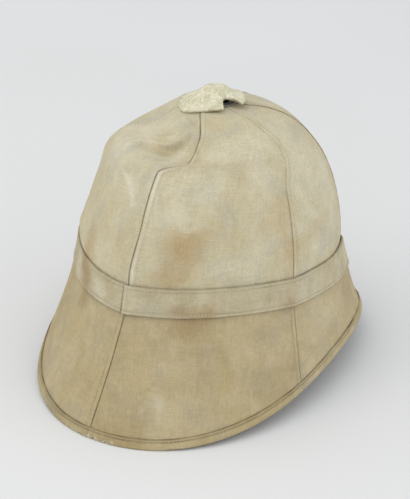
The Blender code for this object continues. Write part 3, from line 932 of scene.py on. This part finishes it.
def binding_section():
    """The binding's section as columns of depth, and height over the rim."""
    hem = [(BIND_WALL * share, BIND_TOP + over) for share, over in HEM_ROWS]
    face = [(0.0, height) for height in FACE_HEIGHTS]
    outer_turn = [(BIND_ROUND * (1 - math.cos(turn)), BIND_ROUND * (1 - math.sin(turn)))
                  for turn in EDGE_TURNS]
    outside = hem + face + outer_turn
    inside = [(FOLD - depth, height) for depth, height in outside[::-1]]
    return np.array(outside + [(FOLD / 2, 0.0)] + inside)


def binding_angles():
    """Angles once round the rim, closest together where the binding is most worn."""
    angles = np.radians(TRIAL_DEGREES)
    count = np.cumsum(1 + MORE_COLUMNS * bell(off_middle(angles, DENSEST, DENSE_HALF_ANGLE)))
    return np.interp(np.linspace(count[0], count[-1], BIND_COLUMNS), count, angles)


def rim_binding():
    """The cloth strip folded over the brim's edge, with its hem sewn down."""
    section = binding_section()
    angle, depth, height = np.broadcast_arrays(binding_angles(), section[:, :1], section[:, 1:])

    def place(depth, height):
        return brim_wall(angle, level_climb(angle, depth, height), depth)

    base = place(depth, height)
    across, _ = measured(base)
    from_hem = section[:, 1].max() - height
    stitched = bell(from_hem - BIND_STITCH, BIND_STITCH_WIDTH)
    puff = (rumpled(base, BIND_RIPPLES) - BIND_SINK * stitched
            + SWELL * bell(from_hem - SWELL_PLACE, SWELL_WIDTH))
    worn = sum(amount * bell(off_middle(angle, middle, half)) for middle, half, amount in WORN)
    worn = worn * fade(height, WORN_HEIGHT)
    chips = np.clip(rumpled(base, CHIPS), 0, 1) * worn
    out = np.where(depth > FOLD / 2, 1.0, -1.0)
    puff = out * puff * (height > BIND_ROUND)
    outer = place(depth + puff + CHIP_DEPTH * chips * (out < 0), height + CHIP_HEIGHT * chips)
    outer[..., 2] = np.maximum(outer[..., 2], 0)
    inner = place(np.clip(depth, BIND_WALL, FOLD - BIND_WALL), np.maximum(height, BIND_WALL))
    # Amounts of painted shadow under the hem, of dirt on the stitches and of darkening along the
    # lowest edge, then of wear
    dark = 1.15 * fade(from_hem, 0.00055) + 0.9 * stitched
    dark = dark + 0.5 * fade(height, 0.0009) * (1 - np.clip(worn, 0, 1))
    pale = 0.35 * bell(from_hem - 0.0011, 0.0005) + 1.3 * chips + 0.35 * worn
    line = np.abs(from_hem[:len(section) // 2, 0] - BIND_STITCH).argmin()
    normals = skin_normal(brim_skin, angle[0], NORMAL_CLIMB)
    STITCHES["binding"].append((outer[line, BIND_STITCHED], normals[BIND_STITCHED]))
    dark = dark * patchy(base, 0.8, 0.5, 0.016, 56)
    cloth_shell("binding_cloth", "rim_binding", "", outer, inner,
                (across, run_length(section)[:, None], BINDING_GRAIN), dark, pale)


# The cap: its lines, the shares of its reach at which notches are looked for and how they are
# smoothed, its rolled edge, how worn its edge is, and the knocks in its sheet
CAP_TURNS = 480
CAP_SHARES = np.concatenate((np.linspace(0.004, 0.93, 28), (0.955, 0.972, 0.984, 0.992, 0.997, 1.0)))
LEAST_SHARE = 0.001
TRIAL_SHARES = np.linspace(0.3, 1, 260)
NOTCH_SMOOTHING = 2
CAP_EDGE = 0.0007
CAP_EDGE_SHARE = 0.8
CAP_ROLL = 0.00045
CAP_ROLL_WIDTH = 0.0011
CAP_WORN = 0.012
WORN_REACH = 0.027
WORN_SIZE = 0.004
CAP_STEP = 0.01
KNOCKS = ((0.011, 22, 0.00042), (0.0045, 23, 0.00022), (0.0018, 24, 0.00006))


def cap_place(angle, share):
    """Points of the cap's outer skin in the crown's own frame, before its notches are cut."""
    shift = CAP_SHIFT * share * np.cos(angle - math.radians(CAP_SHIFT_ANGLE))
    reach = np.maximum(share, LEAST_SHARE) * CAP_RADIUS * (1 + shift)
    place = dome_point(angle, rise_at_reach(reach / (oval(angle) - BAND_WALL - GAP)))
    boss = np.exp(-((share / BOSS_SHARE) ** 4))
    tilt = CAP_TILT * share * (1 + np.cos(angle - math.radians(CAP_TILT_ANGLE))) / 2
    place[..., 2] += CAP_LIFT + SKIRT_RISE * (1 - share ** 2) + BOSS_RISE * boss + tilt
    return place


def notched_share(angle):
    """How far out the cap reaches at each angle before it meets a notch or its own edge."""
    place = cap_place(angle[:, None], TRIAL_SHARES)
    place[..., 1] -= APEX_BACK
    limit = np.ones_like(angle)
    for middle, reach, turn, half_width, depth in NOTCHES:
        off = place - round_place(math.radians(middle), reach, 0.0)
        turn = math.radians(turn)
        aside = off @ (math.cos(turn), math.sin(turn), 0)
        inward = off @ (math.sin(turn), -math.cos(turn), 0)
        inside = (np.abs(aside / half_width) ** NOTCH_POWER
                  + np.abs(inward / depth) ** NOTCH_POWER) < 1
        first = np.where(inside.any(axis=1), TRIAL_SHARES[inside.argmax(axis=1)], 1.0)
        limit = np.minimum(limit, first)
    for _ in range(NOTCH_SMOOTHING):
        limit = (np.roll(limit, 1) + 2 * limit + np.roll(limit, -1)) / 4
    return limit


def ventilator_cap(material):
    """The painted cap, with a rolled edge, small knocks and two notches."""
    angle = np.linspace(0, 2 * math.pi, CAP_TURNS + 1)[:-1]
    worn = 1 - CAP_WORN * np.abs(noise(round_place(angle, WORN_REACH, 0.0), WORN_SIZE, 21))
    share = CAP_SHARES[:, None] * notched_share(angle) * worn
    angle = np.broadcast_to(angle, share.shape)
    base = cap_place(angle, share)
    ahead = cap_place(angle + CAP_STEP, share) - cap_place(angle - CAP_STEP, share)
    outward = cap_place(angle, share + CAP_STEP) - cap_place(angle, share - CAP_STEP)
    normal = unit(np.cross(outward, ahead))
    normal *= np.sign(normal[..., 2:])
    to_edge = (share[-1:] - share) * CAP_RADIUS
    relief = rumpled(base, KNOCKS) - rounded(to_edge, CAP_EDGE) * CAP_EDGE_SHARE
    relief = relief + CAP_ROLL * bell(to_edge - CAP_ROLL_WIDTH / 2, CAP_ROLL_WIDTH)
    outer = stand(base + normal * relief[..., None])
    inner = stand(base - normal * CAP_WALL)
    edge = fade(to_edge, 0.0009)
    outer, inner, edge = (np.concatenate((grid, grid[:, :1]), axis=1) for grid in (outer, inner, edge))
    faces = shell_faces(*edge.shape)[:, ::-1]
    attributes = {"edge": np.stack((edge, np.zeros_like(edge)))}
    thing = make_mesh("cap_shell", np.stack((outer, inner)), faces, material, attributes)
    placed(thing, "ventilator_cap")


# Stitches: their pitch, length and thickness, how thick they are along their length, how far ahead
# their direction is taken, and how much they lean
STITCH_PITCH = 0.0028
STITCH_LENGTH = 0.0019
STITCH_RADIUS = 0.00028
STITCH_SIDES = 5
STITCH_PLACES = (-0.5, -0.42, 0.0, 0.42, 0.5)
STITCH_SHARES = (0.25, 0.8, 1.0, 0.8, 0.25)
STITCH_AHEAD = 0.0005
STITCH_LEAN = 0.12


def sewing(piece, material):
    """A piece's stitches, along lines of points with the cloth's normals."""
    round_it = np.linspace(0, 2 * math.pi, STITCH_SIDES, endpoint=False)
    along = np.array(STITCH_PLACES)[:, None, None] * STITCH_LENGTH
    thick = np.array(STITCH_SHARES)[:, None, None] * STITCH_RADIUS
    grid = np.arange(len(STITCH_PLACES) * STITCH_SIDES).reshape(-1, STITCH_SIDES)
    stitch_faces = between(grid, np.roll(grid, -1, axis=1))
    points, faces = [], []
    for path, normals in STITCHES[piece]:
        steps = run_length(path)
        number = max(int(steps[-1] / STITCH_PITCH), 1)
        at = (np.arange(number) + 0.5) / number * steps[-1]
        middle = passed(at, steps, path)
        normal = passed(at, steps, normals)
        run = unit(passed(at + STITCH_AHEAD, steps, path) - passed(at - STITCH_AHEAD, steps, path))
        side = np.cross(run, normal)
        run = run + side * noise(middle, 0.003, 31)[:, None] * STITCH_LEAN
        for place, way, out, beside in zip(middle, run, normal, side):
            ring = np.outer(np.cos(round_it), beside) + np.outer(np.sin(round_it), out)
            faces.append(stitch_faces + grid.size * len(points))
            points.append((place + way * along + ring * thick).reshape(-1, 3))
    thing = make_mesh(piece + "_stitches", np.concatenate(points), np.concatenate(faces), material)
    placed(thing)


class Nodes:
    """A new material, with short ways to add and join its nodes."""

    def __init__(self, name):
        self.material = bpy.data.materials.new(name)
        self.material.use_nodes = True
        self.tree = self.material.node_tree
        self.shader = self.tree.nodes["Principled BSDF"]
        self.place = self.add("ShaderNodeTexCoord").outputs["Object"]

    def add(self, kind, **values):
        """A new node of a kind, with its settings."""
        node = self.tree.nodes.new(kind)
        for key, value in values.items():
            setattr(node, key, value)
        return node

    def feed(self, sockets, values):
        """Link or set sockets, found by name or by number."""
        for key, value in values.items():
            if isinstance(value, bpy.types.NodeSocket):
                self.tree.links.new(value, sockets[key])
            else:
                sockets[key].default_value = value

    def surface(self, values):
        """The finished material, with what its shader's sockets get."""
        self.feed(self.shader.inputs, values)
        return self.material

    def math(self, operation, *values, kind="ShaderNodeMath"):
        """The result of a calculation with values or with what other nodes give."""
        node = self.add(kind, operation=operation)
        self.feed(node.inputs, dict(enumerate(values)))
        return node.outputs[0]

    def vector(self, operation, *values):
        return self.math(operation, *values, kind="ShaderNodeVectorMath")

    def attribute(self, name, output="Fac"):
        return self.add("ShaderNodeAttribute", attribute_name=name).outputs[output]

    def noise(self, place, scale, detail=2.0, roughness=0.5, distortion=0.0, output=0):
        """A noise at a place. Its second output is a colour."""
        node = self.add("ShaderNodeTexNoise")
        self.feed(node.inputs, {"Vector": place, "Scale": scale, "Detail": detail,
                                "Roughness": roughness, "Distortion": distortion})
        return node.outputs[output]

    def ramp(self, value, low, high):
        """A soft step of a value between two limits."""
        node = self.add("ShaderNodeMapRange", interpolation_type="SMOOTHSTEP")
        self.feed(node.inputs, {"Value": value, "From Min": low, "From Max": high})
        return node.outputs[0]

    def around(self, value, middle, swing):
        """A factor of about 1 that follows a value round its middle."""
        return self.math("MULTIPLY_ADD", self.math("SUBTRACT", value, middle), swing, 1.0)

    def mix(self, share, first, second, blend="MIX"):
        """Two colours mixed by a share of the second."""
        node = self.add("ShaderNodeMix", data_type="RGBA", blend_type=blend)
        self.feed(node.inputs, {"Factor": share})
        colours = [socket for socket in node.inputs if socket.type == "RGBA"]
        for number, value in enumerate((first, second)):
            self.feed(colours, {number: (*value, 1.0) if isinstance(value, tuple) else value})
        return [socket for socket in node.outputs if socket.type == "RGBA"][0]

    def over(self, colour, share, amount, other):
        """A colour with an amount of another one over it, where a share says."""
        return self.mix(self.math("MULTIPLY", share, amount), colour, other)

    def layered(self, colour, *layers):
        """A colour with others over it, as rows of a noise, two limits, an amount and a colour."""
        for *pattern, low, high, amount, other in layers:
            colour = self.over(colour, self.ramp(self.noise(*pattern), low, high), amount, other)
        return colour

    def bump(self, height, distance, **values):
        """A normal that makes a height seem to stand out."""
        node = self.add("ShaderNodeBump")
        self.feed(node.inputs, {"Strength": 1.0, "Distance": distance, "Height": height, **values})
        return node.outputs[0]


# The cloths' colours: the plain one, its shaded and its faded parts, stains, dirty seams, whose dark
# also paints shade by the band, in fold hollows and under the binding's hem, and dullness
Cloth = namedtuple("Cloth", "base shade light rust seam grey roughness")
CLOTHS = {
    "crown_cloth": Cloth(
        (0.568, 0.497, 0.317), (0.500, 0.424, 0.259), (0.638, 0.585, 0.421),
        (0.470, 0.345, 0.175), (0.250, 0.195, 0.110), (0.490, 0.465, 0.365), 0.92),
    "brim_cloth": Cloth(
        (0.466, 0.374, 0.203), (0.400, 0.313, 0.162), (0.536, 0.450, 0.277),
        (0.350, 0.255, 0.130), (0.210, 0.160, 0.080), (0.400, 0.345, 0.230), 0.92),
    "band_cloth": Cloth(
        (0.490, 0.425, 0.270), (0.410, 0.340, 0.200), (0.590, 0.530, 0.370),
        (0.370, 0.265, 0.135), (0.230, 0.180, 0.095), (0.450, 0.415, 0.310), 0.92),
    "binding_cloth": Cloth(
        (0.430, 0.340, 0.175), (0.360, 0.275, 0.135), (0.520, 0.430, 0.250),
        (0.310, 0.220, 0.105), (0.150, 0.112, 0.052), (0.390, 0.340, 0.225), 0.94),
}
PALE = (0.700, 0.655, 0.510)
THREAD_PITCH = 0.00055
THREAD_WANDER = 0.0005


def cloth_material(name):
    """Woven cotton with slubs, mottling, stains, worn and dirty edges, and painted shade by the band,
    in fold hollows and under the binding's hem.
    """
    cloth = CLOTHS[name]
    g = Nodes(name)
    place = g.place
    grain = g.attribute("grain", "Vector")
    wander = g.vector("SUBTRACT", g.noise(grain, 160, 1, output=1), (0.5, 0.5, 0.5))
    wander = g.vector("SCALE", wander)
    wander.node.inputs["Scale"].default_value = THREAD_WANDER
    parts = g.add("ShaderNodeSeparateXYZ")
    g.feed(parts.inputs, {0: g.vector("ADD", grain, wander)})
    sine_across, sine_along = (g.math("SINE", g.math("MULTIPLY", part, math.pi / THREAD_PITCH))
                               for part in (parts.outputs[0], parts.outputs[1]))
    over = g.math("GREATER_THAN", g.math("MULTIPLY", sine_across, sine_along), 0)
    warp = g.math("MULTIPLY", g.math("ABSOLUTE", sine_across), over)
    weft = g.math("MULTIPLY", g.math("ABSOLUTE", sine_along), g.math("SUBTRACT", 1, over))
    weave = g.math("ADD", warp, weft)
    slubs = g.math("ADD", *(g.noise(g.vector("MULTIPLY", grain, stretch), 1, 2, 0.6)
                            for stretch in ((2100, 60, 1), (60, 2100, 1))))
    blotch = (place, 75, 5, 0.65, 0.4)
    streaks = g.vector("MULTIPLY", grain, (260, 42, 1))
    washed = g.vector("MULTIPLY", grain, (120, 15, 1))
    colour = g.layered(
        cloth.base,
        (place, 17, 4, 0.6, 0.5, 0.36, 0.66, 1, cloth.light),
        (*blotch, 0.48, 0.74, 0.5, cloth.shade),
        (streaks, 1, 3, 0.6, 0.52, 0.78, 0.35, cloth.light),
        (g.vector("ADD", place, (3.1, 0.7, 1.9)), 24, 4, 0.6, 0.4, 0.46, 0.70, 0.34, cloth.rust),
        (g.vector("ADD", place, (1.3, 4.7, 2.2)), 34, 4, 0.62, 0.5, 0.47, 0.66, 0.55, cloth.grey),
        (washed, 1, 3, 0.6, 0.50, 0.72, 0.30, cloth.light))
    # Spots: how much a noise changes them, the least they have of it, their upper limit and colour
    ragged = g.noise(place, 70, 6, 0.72)
    for key, swing, least, high, other in (("rust", 1, 0.5, 1.2, cloth.rust),
                                           ("pale", 1.5, 0.25, 1.25, PALE)):
        share = g.math("MULTIPLY", g.attribute(key), g.math("MULTIPLY_ADD", ragged, swing, least))
        colour = g.mix(g.ramp(share, 0.05, high), colour, other)
    # The edge attribute darkens toward the seam colour: dirty joints and stitches, and painted shade
    # by and along the band, in fold hollows and under the binding's hem
    edge = g.math("MULTIPLY", g.attribute("edge"), g.ramp(g.noise(place, 150, 3), -0.1, 0.52))
    colour = g.over(colour, edge, 0.85, cloth.seam)
    colour = g.layered(colour, (place, 240, 2, 0.5, 0.73, 0.79, 0.35, cloth.seam))
    # How threads, weave, dust and wear change the brightness: a value, its middle and its swing
    value = 1.0
    for factor in ((slubs, 1, 0.38), (weave, 0.64, 0.18), (g.noise(place, 900), 0.5, 0.31),
                   (g.noise(place, 320, 3, 0.6), 0.5, 0.22)):
        value = g.math("MULTIPLY", value, g.around(*factor))
    grey = g.add("ShaderNodeCombineXYZ")
    g.feed(grey.inputs, {0: value, 1: value, 2: value})
    rough = g.math("ADD", slubs, g.math("MULTIPLY", g.noise(*blotch), 0.6))
    return g.surface({
        "Base Color": g.mix(1, colour, grey.outputs[0], "MULTIPLY"),
        "Roughness": cloth.roughness,
        "Specular IOR Level": 0.2,
        "Sheen Weight": 0.08,
        "Sheen Roughness": 0.5,
        "Normal": g.bump(weave, 0.00010, Normal=g.bump(rough, 0.00014))})


def thread_material(name, colour, dirt_and_shade):
    """Sewing thread, dirtier in places."""
    g = Nodes(name)
    colour = g.layered(colour, (g.place, 60, 3, 0.35, 0.65, 1, dirt_and_shade))
    return g.surface({"Base Color": colour, "Roughness": 0.9})


def cap_material():
    """Old cream paint, crazed, greenish and dull in places, dark at its chipped edge."""
    g = Nodes("cap_paint")
    place = g.place
    chalk = (place, 260, 4, 0.65, 0.3)
    colour = g.layered(
        (0.665, 0.622, 0.447),
        (place, 110, 4, 0.6, 0.6, 0.44, 0.62, 1, (0.54, 0.512, 0.332)),
        (*chalk, 0.50, 0.64, 0.75, (0.80, 0.78, 0.66)),
        (place, 330, 5, 0.7, 0.8, 0.56, 0.66, 0.6, (0.40, 0.36, 0.22)),
        (place, 700, 2, 0.5, 0.68, 0.74, 0.6, (0.20, 0.17, 0.11)))
    edge = g.math("MULTIPLY", g.attribute("edge"), g.ramp(g.noise(place, 420, 3), 0.30, 0.62))
    chalky = g.math("MULTIPLY", g.ramp(g.noise(*chalk), 0.50, 0.64), 0.5)
    crazed = g.math("ADD", g.noise(place, 500, 5, 0.65), chalky)
    return g.surface({
        "Base Color": g.over(colour, edge, 0.75, (0.27, 0.23, 0.14)),
        "Roughness": g.math("MULTIPLY_ADD", g.noise(place, 300, 4), 0.3, 0.45),
        "Normal": g.bump(crazed, 0.00022)})


def metal_material(name, colour, darker):
    """Dull metal with mottling and small scratches."""
    g = Nodes(name)
    return g.surface({
        "Base Color": g.layered(colour, (g.place, 190, 5, 0.65, 0.5, 0.42, 0.62, 1, darker)),
        "Metallic": 0.8,
        "Roughness": g.math("MULTIPLY_ADD", g.noise(g.place, 300, 4), 0.3, 0.35),
        "Normal": g.bump(g.noise(g.place, 700, 4, 0.6), 0.00012)})


# The camera: its angles in degrees, its distance, its focal length in pixels, and how far its target
# is aside of the helmet's middle and over the floor
VIEW_AZIMUTH = 208.4
VIEW_ELEVATION = 27.0
VIEW_DISTANCE = 1.26
VIEW_FOCUS = 1537
FRAME_HEIGHT = 499
VIEW_ASIDE = -0.0047
VIEW_HEIGHT = 0.0842
SENSOR = 36


def look_from(azimuth, elevation):
    """The direction from the helmet to a viewer, and the picture's right and up."""
    turn, rise = math.radians(azimuth), math.radians(elevation)
    back = Vector((math.sin(turn) * math.cos(rise), -math.cos(turn) * math.cos(rise), math.sin(rise)))
    right = Vector((math.cos(turn), math.sin(turn), 0))
    return back, right, back.cross(right)


def add_camera():
    """The camera at the photograph's angle and distance."""
    back, right, up = look_from(VIEW_AZIMUTH, VIEW_ELEVATION)
    target = right * VIEW_ASIDE + Vector(CENTRE) + Vector((0, 0, VIEW_HEIGHT))
    data = bpy.data.cameras.new("camera")
    data.sensor_width = SENSOR
    data.lens = VIEW_FOCUS * SENSOR / FRAME_HEIGHT
    camera = bpy.data.objects.new("camera", data)
    turned = Matrix((right, up, back)).transposed().to_4x4()
    camera.matrix_world = Matrix.Translation(target + back * VIEW_DISTANCE) @ turned
    bpy.context.scene.collection.objects.link(camera)
    bpy.context.scene.camera = camera


# Soft lights: how far right, toward the viewer and up each stands, its size, power and colour
LIGHTS = {
    "key": (-0.7, 1.0, 2.4, 3.2, 18.8, (1.0, 0.99, 0.96)),
    "side": (-2.0, 0.3, 1.2, 2.4, 10, (1.0, 0.93, 0.80)),
    "fill": (1.9, 0.9, 0.8, 2.2, 13, (0.98, 0.98, 1.0)),
}
AIM = Vector((0, 0, 0.1))
SKY = (0.96, 0.98, 1.0, 1)
SKY_STRENGTH = 0.82
FLOOR_SIDE = 40.0


def add_surroundings():
    """The pale floor, the soft lights and the sky."""
    g = Nodes("floor_paper")
    tint = g.layered((0.745, 0.75, 0.755), (g.place, 1.2, 2.0, 0.3, 0.7, 1.0, (0.71, 0.715, 0.715)))
    material = g.surface({"Base Color": tint, "Roughness": 0.8})
    points = [(x * FLOOR_SIDE, y * FLOOR_SIDE, 0) for x, y in ((-1, -1), (1, -1), (1, 1), (-1, 1))]
    floor = make_mesh("floor", points, [(0, 1, 2, 3)], material)
    toward, right, _ = look_from(VIEW_AZIMUTH, 0)
    for name, (aside, back, up, size, power, colour) in LIGHTS.items():
        data = bpy.data.lights.new(name, "AREA")
        data.energy = power
        data.size = size
        data.color = colour
        lamp = bpy.data.objects.new(name, data)
        lamp.location = right * aside + toward * back + Vector((0, 0, up))
        lamp.rotation_euler = (AIM - lamp.location).to_track_quat("-Z", "Y").to_euler()
        bpy.context.scene.collection.objects.link(lamp)
    world = bpy.data.worlds.new("studio")
    world.use_nodes = True
    sky = world.node_tree.nodes["Background"]
    sky.inputs["Color"].default_value = SKY
    sky.inputs["Strength"].default_value = SKY_STRENGTH
    bpy.context.scene.world = world
    bpy.context.scene.view_settings.view_transform = "Standard"


cloths = {name: cloth_material(name) for name in CLOTHS}
lines = crown_lines()
for number in range(len(PANELS)):
    crown_cloth(number, lines)
    brim_cloth(number)
hat_band()
rim_binding()

ventilator_cap(cap_material())
light_thread = thread_material("thread_light", (0.60, 0.54, 0.38), (0.42, 0.35, 0.21))
dark_thread = thread_material("thread_dark", (0.50, 0.42, 0.25), (0.30, 0.235, 0.12))
sewing("crown", light_thread)
sewing("brim", dark_thread)
sewing("band", light_thread)
sewing("binding", dark_thread)

collar_metal = metal_material("collar_metal", (0.30, 0.29, 0.26), (0.24, 0.232, 0.208))
for node in ("ventilator_collar", "ventilator_stem"):
    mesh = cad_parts[node].data
    mesh.materials.clear()
    mesh.materials.append(collar_metal)

add_camera()
add_surroundings()
